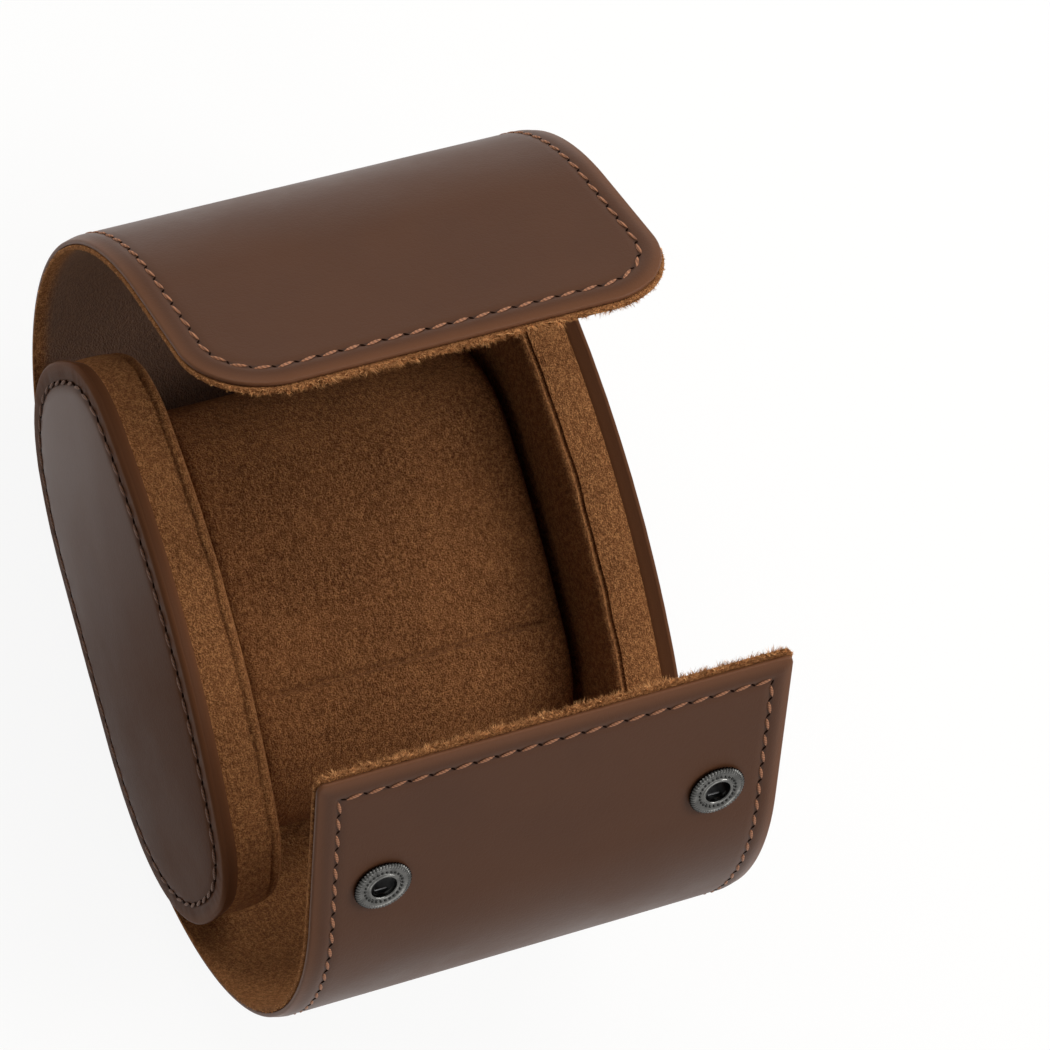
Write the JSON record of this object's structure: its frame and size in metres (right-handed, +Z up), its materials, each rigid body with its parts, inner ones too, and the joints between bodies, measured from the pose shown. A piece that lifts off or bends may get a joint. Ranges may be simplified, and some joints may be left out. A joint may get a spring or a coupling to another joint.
{
  "type": "watch travel case",
  "caption": "Soft leather travel case for a wrist watch: padded oval end walls, a loose pillow, and a flap and lip that fold over and snap shut.",
  "frame": {"origin": "middle of the flat face that the case rests on, under the middle of its back", "axes": "+X from the left end wall to the right one, +Y towards the flap, +Z up out of the open mouth"},
  "size_m": [0.085, 0.1332, 0.1102],
  "materials": {
    "outer_leather": "smooth waxed dark brown leather, semi matt",
    "suede": "tan brown suede, napped",
    "fibreboard": "plain grey brown board, hidden",
    "foam": "plain upholstery foam, hidden",
    "gunmetal": "dark nickel plated, satin",
    "spring_wire": "bright spring wire"
  },
  "bodies": {
    "case": {"back_upper_leather": "outer_leather", "back_lower_leather": "outer_leather", "back_lining": "suede", "back_stiffener": "fibreboard", "left_end_disc_leather": "outer_leather", "left_end_board": "fibreboard", "left_end_foam_core": "foam", "left_end_suede_band": "suede", "left_end_suede_panel": "suede", "right_end_disc_leather": "outer_leather", "right_end_board": "fibreboard", "right_end_foam_core": "foam", "right_end_suede_band": "suede", "right_end_suede_panel": "suede"},
    "flap_fold": {"flap_fold_leather": "outer_leather", "flap_fold_lining": "suede"},
    "flap": {"flap_leather": "outer_leather", "flap_lining": "suede", "snap_studs": "gunmetal", "snap_stud_caps": "gunmetal"},
    "lip_fold": {"lip_fold_leather": "outer_leather", "lip_fold_lining": "suede"},
    "lip": {"lip_leather": "outer_leather", "lip_lining": "suede", "snap_sockets": "gunmetal", "snap_socket_springs": "spring_wire", "snap_socket_rivets": "gunmetal"},
    "pillow": {"pillow_foam": "foam", "pillow_cover": "suede", "pillow_left_end": "suede", "pillow_right_end": "suede"}
  },
  "joints": [
    {"name": "flap_fold_hinge", "type": "hinge", "parent": "case", "child": "flap_fold", "pos_m": [0, 0.04746, 0.01291], "axis": [1, 0, 0], "range_deg": [-30, 25.5]},
    {"name": "flap_curl_hinge", "type": "hinge", "parent": "flap_fold", "child": "flap", "pos_m": [0, 0.0644, 0.0411], "axis": [1, 0, 0], "range_deg": [-25.5, 21.7]},
    {"name": "lip_fold_hinge", "type": "hinge", "parent": "case", "child": "lip_fold", "pos_m": [0, -0.04746, 0.01291], "axis": [-1, 0, 0], "range_deg": [-30, 28]},
    {"name": "lip_curl_hinge", "type": "hinge", "parent": "lip_fold", "child": "lip", "pos_m": [0, -0.0644, 0.0411], "axis": [-1, 0, 0], "range_deg": [-25.5, 23.8]},
    {"name": "pillow_lift", "type": "slide", "parent": "case", "child": "pillow", "axis": [0, 0, 1], "range_m": [0, 0.01]}
  ],
  "couplings": [
    {"joint": "flap_curl_hinge", "follows": "flap_fold_hinge", "ratio": 0.85},
    {"joint": "lip_curl_hinge", "follows": "lip_fold_hinge", "ratio": 0.85}
  ]
}
